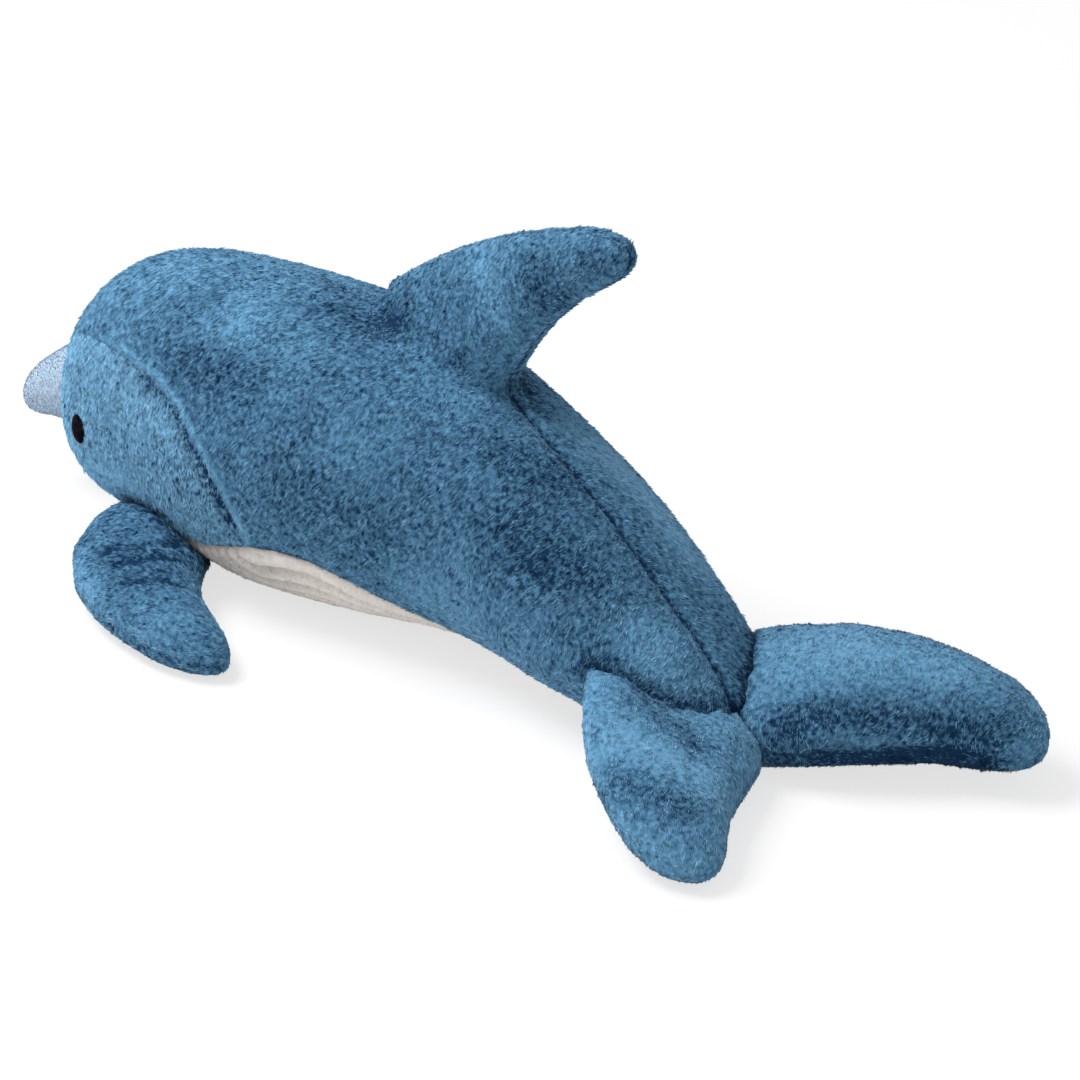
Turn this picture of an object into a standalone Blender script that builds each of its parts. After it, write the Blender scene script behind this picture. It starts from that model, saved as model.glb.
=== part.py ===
# Plush dolphin: sewn pile fabric over soft filling, lying on its belly.
# Metres, +Z up, beak towards -X, tail towards +X, the animal's left side towards -Y.
# X is first counted from near the tip of the beak; the last step centres the whole toy.

import math

import bmesh
import bpy
import numpy as np
from mathutils import Euler, Matrix, Vector

# Fabric, filling and the clearances between pieces
SKIN = 0.0028           # backing cloth and pressed pile
SEAM_GAP = 0.0004       # between two panels along a seam
FILL_GAP = 0.0008       # between a panel and the filling behind it
SEAT_GAP = 0.0005       # between a sewn-on piece and the panel under it

# Body, from the forehead to the end of the tail
BODY_START = 0.024
BODY_LENGTH = 0.322
BODY_WIDTH = 0.127
BODY_HEIGHT = 0.112
HEAD_ROUND = 0.047
HEAD_FULL = 2.5         # exponent of the forehead's curve
TAIL_ROUND = 0.0245
TAIL_CURL = 0.020       # sideways bend of the tail, towards the left
HEAD_CURL = 0.026       # sideways bend of the head, towards the left
CURL_MIDDLE = 0.41      # share of the length at which the spine runs straight
CURL_REACH = 0.56       # share of the length over which a curl builds up
FULL_ABOVE = 2.1        # exponent of the section above its widest level
FULL_BELOW = 2.45

# Share of the body length, then half width, top and widest level as shares of the body's
# half width and height, then the underside in metres: below zero it is pressed flat
BODY_SHAPE = [
    (0.000, 0.68, 0.93, 0.43, 0.010),
    (0.174, 0.79, 1.00, 0.47, 0.003),
    (0.329, 1.00, 0.98, 0.46, -0.002),
    (0.484, 0.91, 0.95, 0.46, 0.001),
    (0.640, 0.73, 0.85, 0.43, 0.008),
    (0.795, 0.66, 0.64, 0.33, 0.006),
    (0.919, 0.55, 0.40, 0.22, 0.008),
    (1.000, 0.42, 0.27, 0.16, 0.008),
]

# The front of the body lies rolled to the right: share of the length, then degrees
BODY_ROLL = [(0.0, 14), (0.35, 17), (0.45, 15), (0.62, 4), (0.70, 0), (1.0, 0)]

# Beak
BEAK_LENGTH = 0.041
BEAK_SINK = 0.009       # how far its root lies behind the front of the head
BEAK_WIDTH = 0.0455
BEAK_ROUND = 0.008
BEAK_DROP = 0.013       # the tip lies lower than the root
BEAK_SHAPE = [(0.0, 1.00), (0.35, 0.80), (0.7, 0.565), (1.0, 0.40)]
BEAK_TIP_RINGS = (0.25, 0.5, 0.75, 0.92)

# Seams on the skin, as share of the body length and degrees from the midline of the back
CHEEK_SEAM = [
    (0.03, 62), (0.10, 69), (0.18, 77), (0.23, 80), (0.30, 89), (0.33, 97), (0.36, 106), (0.385, 119)
]
BELLY_SEAM = [
    (0.0, 160), (0.10, 154), (0.20, 147), (0.28, 138), (0.338, 129), (0.39, 122), (0.45, 119),
    (0.507, 120), (0.552, 126), (0.60, 136), (0.68, 148), (0.80, 159), (1.0, 172)
]

# Eyes: sewn ovals
EYE_PLACE = (0.088, 107)
EYE_SIZE = (0.008, 0.008)
EYE_RISE = 0.0014
EYE_ROUND = 0.8         # how far its face falls away towards the edge
EYE_RINGS = (1.0, 0.8, 0.55, 0.25)

# Every fin is set out from a curve through its middle. How far the curve keeps its heading at
# the root and at the tip, as shares of its length
ROOT_PULL = 0.36
TIP_PULL = 0.30
FIN_TIP_RINGS = (1.35, 1.65, 1.87, 2.0)

# The lead, trail and half thickness of each fin are the distances from that curve to the
# leading and the trailing edge and half the thickness, at even steps from root to tip

# Dorsal fin, over the midline of the back
FIN_PLACE = 0.505
FIN_ROOT_HEIGHT = 0.088
FIN_REACH = (0.0940, 0.0775)
FIN_HEADINGS = (52, 21)
FIN_LEAN = 0.12
FIN_LEAD = (0.0444, 0.0315, 0.0185, 0.0085)
FIN_TRAIL = (0.0300, 0.0180, 0.0105, 0.0085)
FIN_HALF_THICK = (0.026, 0.013, 0.010, 0.007)
FIN_TIP = 0.0195

# Flippers and flukes: where along them they come down to the floor, and how high their
# middle lies there as a share of their half thickness
SETTLED = 0.55
REST_HEIGHT = 0.85

# Flippers
FLIPPER_PLACE = 0.198
FLIPPER_OUT = 0.035
FLIPPER_ROOT_HEIGHT = 0.0145
FLIPPER_REACH = (0.083, 0.055)
FLIPPER_HEADINGS = (95, 1)
FLIPPER_LEAD = (0.0238, 0.027, 0.019, 0.0095)
FLIPPER_TRAIL = (0.0320, 0.0248, 0.0148, 0.0095)
FLIPPER_HALF_THICK = (0.012, 0.013, 0.011, 0.008)
FLIPPER_TIP = 0.0215

# Flukes: the left one lies on the floor, the right one rides a little higher
FLUKE_PLACE = 0.880
LEFT_FLUKE_ROOT_HEIGHT = 0.0165
RIGHT_FLUKE_ROOT_HEIGHT = 0.0130
LEFT_FLUKE_ROOT_TILT = (0.80, 0.22)     # rise from its middle to its leading edge at the root,
RIGHT_FLUKE_ROOT_TILT = (0.20, 0.18)    # and fall to its trailing edge, for each metre
LEFT_FLUKE_LENGTH = 0.1096
RIGHT_FLUKE_LENGTH = 0.1368
RIGHT_FLUKE_LIFT = 0.0095
RIGHT_FLUKE_TILT = 0.25  # rise of its leading edge at the tip, for each metre of chord
FLUKE_AXIS = -13        # heading of the pair, turned towards the left
FLUKE_SPREAD = 32       # angle of each from the pair's heading
FLUKE_SWEEP = (2, 16)
FLUKE_LEAD = (0.0285, 0.0300, 0.0310, 0.0243, 0.0145)
LEFT_FLUKE_TRAIL = (0.0491, 0.0381, 0.0265, 0.0152, 0.0122)
RIGHT_FLUKE_TRAIL = (0.0170, 0.0315, 0.0290, 0.0160, 0.0122)
FLUKE_HALF_THICK = (0.009, 0.0155, 0.0148, 0.0135, 0.008)
FLUKE_TIP = 0.020
FLUKE_DIVIDER = 0.30    # the cutting block that ends each at the seam between them

# Fineness of the meshes
BODY_RINGS = 20
CAP_RINGS = 6
END_TURN = 4.0          # degrees short of the very end at which a rounded end closes
BACK_STEPS = 10
CHEEK_STEPS = 6
BELLY_STEPS = 12
FILLING_STEPS = 26
FORM_STEPS = 48
FIN_RINGS = 7
FIN_STEPS = 8
BEAK_RINGS = 5
BEAK_STEPS = 16
EYE_STEPS = 12

LEFT = -1
RIGHT = 1


def smooth(table, column, at):
    """A smooth curve through one column of a table whose first column is the place."""
    rows = np.array(table, dtype=float)
    places, values = rows[:, 0], rows[:, column]
    slopes = np.gradient(values, places)
    at = np.clip(at, places[0], places[-1])
    i = min(max(int(np.searchsorted(places, at)) - 1, 0), len(places) - 2)
    span = places[i + 1] - places[i]
    t = (at - places[i]) / span
    start, end = values[i], values[i + 1]
    lead, trail = slopes[i] * span, slopes[i + 1] * span
    curve = (2 * t**3 - 3 * t**2 + 1) * start + (3 * t**2 - 2 * t**3) * end
    return curve + (t**3 - 2 * t**2 + t) * lead + (t**3 - t**2) * trail


def taper(values, at):
    """A smooth curve through values that are evenly spaced from root to tip."""
    places = np.linspace(0, 1, len(values))
    return smooth(list(zip(places, values)), 1, at)


def spine_offset(x):
    """Sideways place of the spine: the head and the tail both curl to the left."""
    middle = BODY_START + BODY_LENGTH * CURL_MIDDLE
    reach = BODY_LENGTH * CURL_REACH
    bend = TAIL_CURL if x > middle else HEAD_CURL
    return -bend * ((x - middle) / reach) ** 2


def outline_share(turn, full):
    """Sine or cosine of a superellipse."""
    return math.copysign(abs(turn) ** (2 / full), turn)


def body_rings():
    """The body's rings as (kind, value), from the opening round the beak to the tail's end."""
    head = [("head", turn) for turn in np.linspace(opening_turn(), 90, CAP_RINGS)[:-1]]
    straight = [("trunk", share) for share in np.linspace(0, 1, BODY_RINGS)]
    tail = [("tail", turn) for turn in np.linspace(90, END_TURN, CAP_RINGS)[1:]]
    return head + straight + tail


def body_ring(ring, depth):
    """Place along X and size factor of a ring that lies `depth` below the skin."""
    kind, value = ring
    first = BODY_START + HEAD_ROUND
    last = BODY_START + BODY_LENGTH - TAIL_ROUND
    if kind == "trunk":
        return first + (last - first) * value, 1.0
    turn = math.radians(value)
    if kind == "head":
        size = math.sin(turn) ** (2 / HEAD_FULL)
        return first - (HEAD_ROUND - depth) * math.cos(turn) ** (2 / HEAD_FULL), size
    return last + (TAIL_ROUND - depth) * math.cos(turn), math.sin(turn)


def body_share(ring):
    """Share of the body length at which a ring's outer edge lies."""
    return (body_ring(ring, 0.0)[0] - BODY_START) / BODY_LENGTH


def body_point(ring, degrees, side, depth=0.0):
    """A point on the body's surface, or `depth` below it."""
    x, size = body_ring(ring, depth)
    share = body_share(ring)
    level = smooth(BODY_SHAPE, 3, share) * BODY_HEIGHT
    half = (smooth(BODY_SHAPE, 1, share) * BODY_WIDTH / 2 - depth) * size
    above = (smooth(BODY_SHAPE, 2, share) * BODY_HEIGHT - level - depth) * size
    below = (level - smooth(BODY_SHAPE, 4, share) - depth) * size
    sine, cosine = math.sin(math.radians(degrees)), math.cos(math.radians(degrees))
    full, rise = (FULL_ABOVE, above) if cosine > 0 else (FULL_BELOW, below)
    y = spine_offset(x) + side * half * outline_share(sine, full)
    z = level + rise * outline_share(cosine, full)
    return (x, y, max(z, depth))


def seam_turn(ring, degrees, side):
    """Degrees that half the gap of a seam takes at this place on the skin."""
    here = np.array(body_point(ring, degrees, side))
    near = np.array(body_point(ring, degrees + 1.0, side))
    return SEAM_GAP / 2 / max(float(np.linalg.norm(near - here)), 1e-5)


def rolled(ring, degrees, side):
    """Degrees from the top of the section, for degrees counted from the rolled midline."""
    return degrees + side * smooth(BODY_ROLL, 1, body_share(ring))


def belly_edge(ring):
    return smooth(BELLY_SEAM, 1, body_share(ring))


def back_edge(ring):
    """Lower edge of the back panel: the cheek seam at the head, then the belly seam."""
    share = body_share(ring)
    if share >= CHEEK_SEAM[-1][0]:
        return belly_edge(ring)
    return min(smooth(CHEEK_SEAM, 1, share), belly_edge(ring))


def material(name, colour, roughness, metallic=0.0):
    made = bpy.data.materials.new(name)
    made.use_nodes = True
    shader = made.node_tree.nodes["Principled BSDF"]
    shader.inputs["Base Color"].default_value = (*colour, 1.0)
    shader.inputs["Roughness"].default_value = roughness
    shader.inputs["Metallic"].default_value = metallic
    return made


def mesh_object(name, grid_faces, points, collection):
    """An object from points and faces, with points that coincide joined into one."""
    mesh = bpy.data.meshes.new(name)
    mesh.from_pydata(points, [], grid_faces)
    shape = bmesh.new()
    shape.from_mesh(mesh)
    bmesh.ops.remove_doubles(shape, verts=shape.verts, dist=1e-6)
    bmesh.ops.dissolve_degenerate(shape, dist=1e-6, edges=shape.edges)
    bmesh.ops.recalc_face_normals(shape, faces=shape.faces)
    shape.to_mesh(mesh)
    shape.free()
    mesh.shade_smooth()
    mesh.set_sharp_from_angle(angle=math.radians(50))
    made = bpy.data.objects.new(name, mesh)
    collection.objects.link(made)
    return made


def strips(rows, columns, offset=0, closed=False):
    """Faces between neighbouring rows of a grid of points."""
    across = columns if closed else columns - 1
    faces = []
    for i in range(rows - 1):
        for j in range(across):
            k = (j + 1) % columns
            a, b = offset + i * columns, offset + (i + 1) * columns
            faces.append((a + j, a + k, b + k, b + j))
    return faces


def sheet(name, outer, inner, collection):
    """A cloth panel: an outer and an inner grid of points, closed along its four edges.

    The edges are split from each outer point to the inner point of the row before it, so
    that the two sides of a twisted seam stay parallel.
    """
    rows, columns = len(outer), len(outer[0])
    points = [p for row in outer for p in row] + [p for row in inner for p in row]
    count = rows * columns
    faces = strips(rows, columns)
    faces += [tuple(reversed(face)) for face in strips(rows, columns, count)]
    edge = [j for j in range(columns)]
    edge += [i * columns + columns - 1 for i in range(1, rows)]
    edge += [(rows - 1) * columns + j for j in range(columns - 2, -1, -1)]
    edge += [i * columns for i in range(rows - 2, 0, -1)]
    for a, b in zip(edge, edge[1:] + edge[:1]):
        if a < b:
            faces += [(b, a, a + count), (b, a + count, b + count)]
        else:
            faces += [(b, a, b + count), (a, a + count, b + count)]
    return mesh_object(name, faces, points, collection)


def fan(first, columns, centre):
    """Faces from a ring of points to the point at its centre."""
    return [(centre, first + j, first + (j + 1) % columns) for j in range(columns)]


def solid(name, rings, collection):
    """A closed loft: rings of points, each end closed by a fan."""
    columns = len(rings[0])
    points = [p for ring in rings for p in ring]
    faces = strips(len(rings), columns, 0, True)
    for first, ring in ((0, rings[0]), ((len(rings) - 1) * columns, rings[-1])):
        points.append(tuple(np.mean(ring, axis=0)))
        faces += fan(first, columns, len(points) - 1)
    return mesh_object(name, faces, points, collection)


def cup(name, outer, inner, collection):
    """A cloth dome: closed rings outside and inside, joined at the rim, closed at the top."""
    columns = len(outer[0])
    count = len(outer) * columns
    points = [p for ring in outer + inner for p in ring]
    faces = strips(len(outer), columns, 0, True) + strips(len(inner), columns, count, True)
    for j in range(columns):
        k = (j + 1) % columns
        faces.append((j, k, count + k, count + j))
    for first, ring in ((count - columns, outer[-1]), (2 * count - columns, inner[-1])):
        points.append(tuple(np.mean(ring, axis=0)))
        faces += fan(first, columns, len(points) - 1)
    return mesh_object(name, faces, points, collection)


def closed_ring(ring, depth, steps):
    """A whole ring of the body, down the left side and up the right."""
    turns = np.linspace(0, 180, steps // 2 + 1)
    left = [body_point(ring, turn, LEFT, depth) for turn in turns]
    right = [body_point(ring, turn, RIGHT, depth) for turn in turns[-2:0:-1]]
    return left + right


def body_form(name, depth, collection):
    """The closed outer form of the body, for cutting what is sewn against it."""
    places = [("head", END_TURN)] + body_rings()
    return solid(name, [closed_ring(ring, depth, FORM_STEPS) for ring in places], collection)


def beak_point(share, turn, depth):
    """A point on the beak, from its root (0) to its rounded tip (1)."""
    root = BODY_START + BEAK_SINK
    straight = BEAK_LENGTH - BEAK_ROUND
    rounding = max(0.0, share * BEAK_LENGTH - straight) / BEAK_ROUND * math.pi / 2
    distance = min(share * BEAK_LENGTH, straight) + math.sin(rounding) * (BEAK_ROUND - depth)
    along = distance / BEAK_LENGTH
    radius = (smooth(BEAK_SHAPE, 1, along) * BEAK_WIDTH / 2 - depth) * math.cos(rounding)
    x = root - distance
    level = BODY_SHAPE[0][3] * BODY_HEIGHT - BEAK_DROP * along**2
    y = spine_offset(x) - radius * math.sin(turn)
    return (x, y, level + radius * math.cos(turn))


def beak_rings(depth, steps, first=0.0):
    """Rings of the beak from its root, or a share further on, to just short of its tip."""
    straight = 1 - BEAK_ROUND / BEAK_LENGTH
    shares = list(np.linspace(first, straight, BEAK_RINGS))
    shares += [straight + (1 - straight) * step for step in BEAK_TIP_RINGS]
    turns = [2 * math.pi * i / steps for i in range(steps)]
    return [[beak_point(share, turn, depth) for turn in turns] for share in shares]


def opening_turn():
    """Degrees from the front of the head at which its panels begin, around the beak."""
    half = BODY_SHAPE[0][1] * BODY_WIDTH / 2 - SKIN
    share = (BEAK_WIDTH / 2 - SKIN + FILL_GAP) / half
    return math.degrees(math.asin(share ** (HEAD_FULL / 2)))


def panel(name, side, rings, upper, lower, steps, collection):
    """A panel of skin between two seams, given as degrees at each ring."""
    grids = []
    for depth in (0.0, SKIN):
        grid = []
        for ring in rings:
            top, bottom = rolled(ring, upper(ring), side), rolled(ring, lower(ring), side)
            gaps = seam_turn(ring, top, side), seam_turn(ring, bottom, side)
            if bottom - top > 2 * sum(gaps):
                top, bottom = top + gaps[0], bottom - gaps[1]
            else:
                top = bottom = (top + bottom) / 2
            turns = np.linspace(top, bottom, steps + 1)
            grid.append([body_point(ring, turn, side, depth) for turn in turns])
        grids.append(grid)
    return sheet(name, grids[0], grids[1], collection)


def belly(name, rings, collection):
    """The belly panel, from seam to seam under the body."""
    grids = []
    for depth in (0.0, SKIN):
        grid = []
        for ring in rings:
            row = []
            for side in (LEFT, RIGHT):
                edge = rolled(ring, belly_edge(ring), side)
                edge += seam_turn(ring, edge, side)
                turns = np.linspace(edge, 180, BELLY_STEPS // 2 + 1)
                row.append([body_point(ring, turn, side, depth) for turn in turns])
            grid.append(row[0] + row[1][-2::-1])
        grids.append(grid)
    return sheet(name, grids[0], grids[1], collection)


def bezier(start, reach, headings, t):
    """A planar curve from a start over a reach, leaving and arriving at two headings."""
    length = math.hypot(*reach)
    leave, arrive = (math.radians(value) for value in headings)
    tip = np.array(start) + np.array(reach)
    first = np.array(start) + ROOT_PULL * length * np.array([math.cos(leave), math.sin(leave)])
    second = tip - TIP_PULL * length * np.array([math.cos(arrive), math.sin(arrive)])
    a, b, c, d = (1 - t) ** 3, 3 * t * (1 - t) ** 2, 3 * t**2 * (1 - t), t**3
    return a * np.array(start) + b * first + c * second + d * tip


def fin_frame(fin, t):
    """Centre of a fin's chord, and the unit vector towards its leading edge."""
    step = 1e-3
    here = bezier(fin["start"], fin["reach"], fin["headings"], t)
    ahead = bezier(fin["start"], fin["reach"], fin["headings"], t + step)
    along = (ahead - here) / np.linalg.norm(ahead - here)
    return here, np.array([-along[1], along[0]])


def fin_point(fin, ring, turn, face, depth):
    """A point of a fin: `turn` runs over its section from leading to trailing edge."""
    length = math.hypot(*fin["reach"])
    start = 1 - fin["tip"] / length
    if ring <= 1:
        t, size = start * ring, 1.0
    else:
        bend = (ring - 1) * math.pi / 2
        t = start + (fin["tip"] - depth) / length * math.sin(bend)
        size = math.cos(bend)
    centre, forward = fin_frame(fin, t)
    half_chord = fin["lead"] if math.cos(turn) > 0 else fin["trail"]
    chord = (taper(half_chord, t) - depth) * size
    thick = (taper(fin["half_thick"], t) - depth) * size
    flat = centre + forward * chord * math.cos(turn)
    root_tilt = fin["root_tilt"][0] if math.cos(turn) > 0 else fin["root_tilt"][1]
    tilt = root_tilt * (1 - t) + fin["tilt"] * t
    rise = face * thick * math.sin(turn) + tilt * chord * math.cos(turn)
    if depth < SKIN + FILL_GAP:
        rise += face * SEAM_GAP / 2
    return fin["place"](flat, rise, t, depth)


def fin_ring_places():
    return list(np.linspace(0, 1, FIN_RINGS)) + list(FIN_TIP_RINGS)


def fin_sheet(name, fin, face, collection):
    """One cloth half of a fin, from edge seam to edge seam."""
    turns = [math.pi * i / FIN_STEPS for i in range(FIN_STEPS + 1)]
    grids = []
    for depth in (0.0, SKIN):
        places = fin_ring_places()
        grids.append([[fin_point(fin, r, turn, face, depth) for turn in turns] for r in places])
    return sheet(name, grids[0], grids[1], collection)


def fin_filling(name, fin, collection):
    depth = SKIN + FILL_GAP
    turns = [math.pi * i / FIN_STEPS for i in range(FIN_STEPS + 1)]
    rings = []
    for place in fin_ring_places()[:-1]:
        upper = [fin_point(fin, place, turn, 1, depth) for turn in turns]
        lower = [fin_point(fin, place, turn, -1, depth) for turn in turns[-2:0:-1]]
        rings.append(upper + lower)
    return solid(name, rings, collection)


def midline(x):
    """Place of the back's rolled midline at a distance along the trunk."""
    first = BODY_START + HEAD_ROUND
    last = BODY_START + BODY_LENGTH - TAIL_ROUND
    ring = ("trunk", (x - first) / (last - first))
    return body_point(ring, rolled(ring, 0.0, RIGHT), RIGHT)


def dorsal_place(flat, rise, *_):
    """The dorsal fin stands on the midline of the back and leans with it."""
    x, y, z = midline(flat[0])
    return (x, y + FIN_LEAN * (flat[1] - z) + rise, flat[1])


def lying_place(side, root_height, half_thick, lift):
    """A flipper or fluke runs from its root height down to lie on the floor."""
    def place(flat, rise, t, depth):
        rest = REST_HEIGHT * taper(half_thick, t) + lift
        settle = min(t / SETTLED, 1.0)
        level = root_height + (rest - root_height) * settle**2 * (3 - 2 * settle)
        return (flat[0], side * flat[1], max(level + rise, depth))
    return place


def cut(target, cutter, operation="DIFFERENCE"):
    step = target.modifiers.new(cutter.name, "BOOLEAN")
    step.operation = operation
    step.solver = "EXACT"
    step.object = cutter
    return step


def dorsal_fin():
    return {
        "start": (BODY_START + FIN_PLACE * BODY_LENGTH, FIN_ROOT_HEIGHT),
        "reach": FIN_REACH,
        "headings": FIN_HEADINGS,
        "lead": FIN_LEAD,
        "trail": FIN_TRAIL,
        "half_thick": FIN_HALF_THICK,
        "tip": FIN_TIP,
        "root_tilt": (0.0, 0.0),
        "tilt": 0.0,
        "place": dorsal_place,
    }


def flipper(side):
    x = BODY_START + FLIPPER_PLACE * BODY_LENGTH
    return {
        "start": (x, side * spine_offset(x) + FLIPPER_OUT),
        "reach": FLIPPER_REACH,
        "headings": FLIPPER_HEADINGS,
        "lead": FLIPPER_LEAD,
        "trail": FLIPPER_TRAIL,
        "half_thick": FLIPPER_HALF_THICK,
        "tip": FLIPPER_TIP,
        "root_tilt": (0.0, 0.0),
        "tilt": 0.0,
        "place": lying_place(side, FLIPPER_ROOT_HEIGHT, FLIPPER_HALF_THICK, 0.0),
    }


def fluke(side):
    x = BODY_START + FLUKE_PLACE * BODY_LENGTH
    middle = FLUKE_SPREAD + side * FLUKE_AXIS
    turn = math.radians(middle)
    length, root, root_tilt = LEFT_FLUKE_LENGTH, LEFT_FLUKE_ROOT_HEIGHT, LEFT_FLUKE_ROOT_TILT
    trail, lift, tilt = LEFT_FLUKE_TRAIL, 0.0, 0.0
    if side == RIGHT:
        length, root, root_tilt = RIGHT_FLUKE_LENGTH, RIGHT_FLUKE_ROOT_HEIGHT, RIGHT_FLUKE_ROOT_TILT
        trail, lift, tilt = RIGHT_FLUKE_TRAIL, RIGHT_FLUKE_LIFT, RIGHT_FLUKE_TILT
    return {
        "start": (x, side * spine_offset(x)),
        "reach": (length * math.cos(turn), length * math.sin(turn)),
        "headings": (middle + FLUKE_SWEEP[0], middle - FLUKE_SWEEP[1]),
        "lead": FLUKE_LEAD,
        "trail": trail,
        "half_thick": FLUKE_HALF_THICK,
        "tip": FLUKE_TIP,
        "root_tilt": root_tilt,
        "tilt": tilt,
        "place": lying_place(side, root, FLUKE_HALF_THICK, lift),
    }


def fluke_divider(name, side, collection):
    """A block over everything beyond the seam between the flukes, seen from one side."""
    x = BODY_START + FLUKE_PLACE * BODY_LENGTH
    heading = Euler((0, 0, math.radians(FLUKE_AXIS)))
    away = heading.to_matrix() @ Vector((0, -side, 0))
    centre = Vector((x, spine_offset(x), 0)) + away * (FLUKE_DIVIDER - SEAM_GAP) / 2
    mesh = bpy.data.meshes.new(name)
    shape = bmesh.new()
    turned = Matrix.LocRotScale(centre, heading, None)
    bmesh.ops.create_cube(shape, size=FLUKE_DIVIDER, matrix=turned)
    shape.to_mesh(mesh)
    shape.free()
    made = bpy.data.objects.new(name, mesh)
    collection.objects.link(made)
    return made


def eye(name, side, collection):
    """A sewn oval that follows the cheek."""
    share, middle = EYE_PLACE
    first = BODY_START + HEAD_ROUND
    across, tall = EYE_SIZE
    x = BODY_START + share * BODY_LENGTH
    centre_turn = math.degrees(math.acos(((first - x) / HEAD_ROUND) ** (HEAD_FULL / 2)))
    around = BODY_SHAPE[0][1] * BODY_WIDTH / 2 * math.sin(math.radians(centre_turn))
    grids = []
    for base in (False, True):
        grid = []
        for radius in EYE_RINGS:
            row = []
            for j in range(EYE_STEPS):
                turn = 2 * math.pi * j / EYE_STEPS
                aft = radius * across / 2 * math.cos(turn)
                down = radius * tall / 2 * math.sin(turn)
                place = ("head", centre_turn + math.degrees(aft / HEAD_ROUND))
                rise = 0.0 if base else EYE_RISE * math.sqrt(1 - EYE_ROUND * radius**2)
                degrees = rolled(place, middle + math.degrees(down / around), side)
                row.append(body_point(place, degrees, side, -SEAT_GAP - rise))
            grid.append(row)
        grids.append(grid)
    return cup(name, grids[0], grids[1], collection)


def centre_on_floor(pieces, stand):
    """Moves the parent so that the toy stands centred on the origin."""
    graph = bpy.context.evaluated_depsgraph_get()
    corners = [corner for piece in pieces for corner in piece.evaluated_get(graph).bound_box]
    corners = np.array([tuple(corner) for corner in corners])
    low, high = corners.min(axis=0), corners.max(axis=0)
    stand.location = (-(low[0] + high[0]) / 2, -(low[1] + high[1]) / 2, -low[2])


def build():
    for old in list(bpy.data.objects):
        bpy.data.objects.remove(old)
    parts = bpy.data.collections.new("plush_dolphin")
    cutters = bpy.data.collections.new("cutters")
    for collection in (parts, cutters):
        bpy.context.scene.collection.children.link(collection)

    pile = material("blue_pile", (0.070, 0.165, 0.270), 0.95)
    cheek_pile = material("light_blue_pile", (0.110, 0.240, 0.370), 0.95)
    velour = material("beak_velour", (0.380, 0.510, 0.650), 0.9)
    cream = material("cream_pile", (0.560, 0.530, 0.490), 0.95)
    thread = material("eye_thread", (0.012, 0.010, 0.012), 0.35)
    wadding = material("filling", (0.80, 0.80, 0.78), 1.0)

    outside = body_form("body_form", -SEAT_GAP, cutters)
    half_skin = body_form("half_skin_form", SKIN / 2, cutters)

    rings = body_rings()
    head = [ring for ring in rings if body_share(ring) <= CHEEK_SEAM[-1][0]]
    head.append(rings[len(head)])
    looks = []

    for side, label in ((LEFT, "left"), (RIGHT, "right")):
        back = panel(f"back_{label}", side, rings, lambda ring: 0.0, back_edge, BACK_STEPS, parts)
        half_fin = fin_sheet(f"fin_half_{label}", dorsal_fin(), side, cutters)
        cut(half_fin, half_skin)
        cut(back, half_fin, "UNION")
        cheek = panel(f"cheek_{label}", side, head, back_edge, belly_edge, CHEEK_STEPS, parts)
        looks += [(back, pile), (cheek, cheek_pile)]
        beyond = fluke_divider(f"fluke_divider_{label}", side, cutters)
        limbs = ("flipper", flipper(side), [outside]), ("fluke", fluke(side), [outside, beyond])
        for kind, shape, edges in limbs:
            top = fin_sheet(f"{kind}_{label}_top", shape, 1, parts)
            under = fin_sheet(f"{kind}_{label}_underside", shape, -1, parts)
            filling = fin_filling(f"{kind}_{label}_filling", shape, parts)
            for piece in (top, under, filling):
                for edge in edges:
                    cut(piece, edge)
            looks += [(top, pile), (under, pile), (filling, wadding)]
        looks.append((eye(f"eye_{label}", side, parts), thread))

    looks.append((belly("belly", rings, parts), cream))

    fin_core = fin_filling("dorsal_fin_filling", dorsal_fin(), parts)
    cut(fin_core, outside)
    looks.append((fin_core, wadding))

    fill_depth = SKIN + FILL_GAP
    neck = body_ring(rings[0], fill_depth)[0] - SKIN / 2
    plug = beak_rings(fill_depth, FILLING_STEPS, (BODY_START + BEAK_SINK - neck) / BEAK_LENGTH)
    trunk = [closed_ring(ring, fill_depth, FILLING_STEPS) for ring in rings]
    looks.append((solid("body_filling", plug[::-1] + trunk, parts), wadding))

    beak = cup("beak", beak_rings(0.0, BEAK_STEPS), beak_rings(SKIN, BEAK_STEPS), parts)
    cut(beak, outside)
    looks.append((beak, velour))

    for piece, look in looks:
        piece.data.materials.append(look)
    for cutter in cutters.objects:
        cutter.hide_render = True
        cutter.display_type = "WIRE"

    stand = bpy.data.objects.new("toy_centre", None)
    parts.objects.link(stand)
    for piece in list(bpy.data.objects):
        if piece is not stand:
            piece.parent = stand
    centre_on_floor([piece for piece, look in looks], stand)


build()
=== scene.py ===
# Plush dolphin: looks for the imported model.
# Each stuffed part is swelled as cloth over its solids, then its panels grow their pile.

import math

import bmesh
import bpy
import numpy as np
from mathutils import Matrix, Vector, noise
from mathutils.bvhtree import BVHTree


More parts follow.
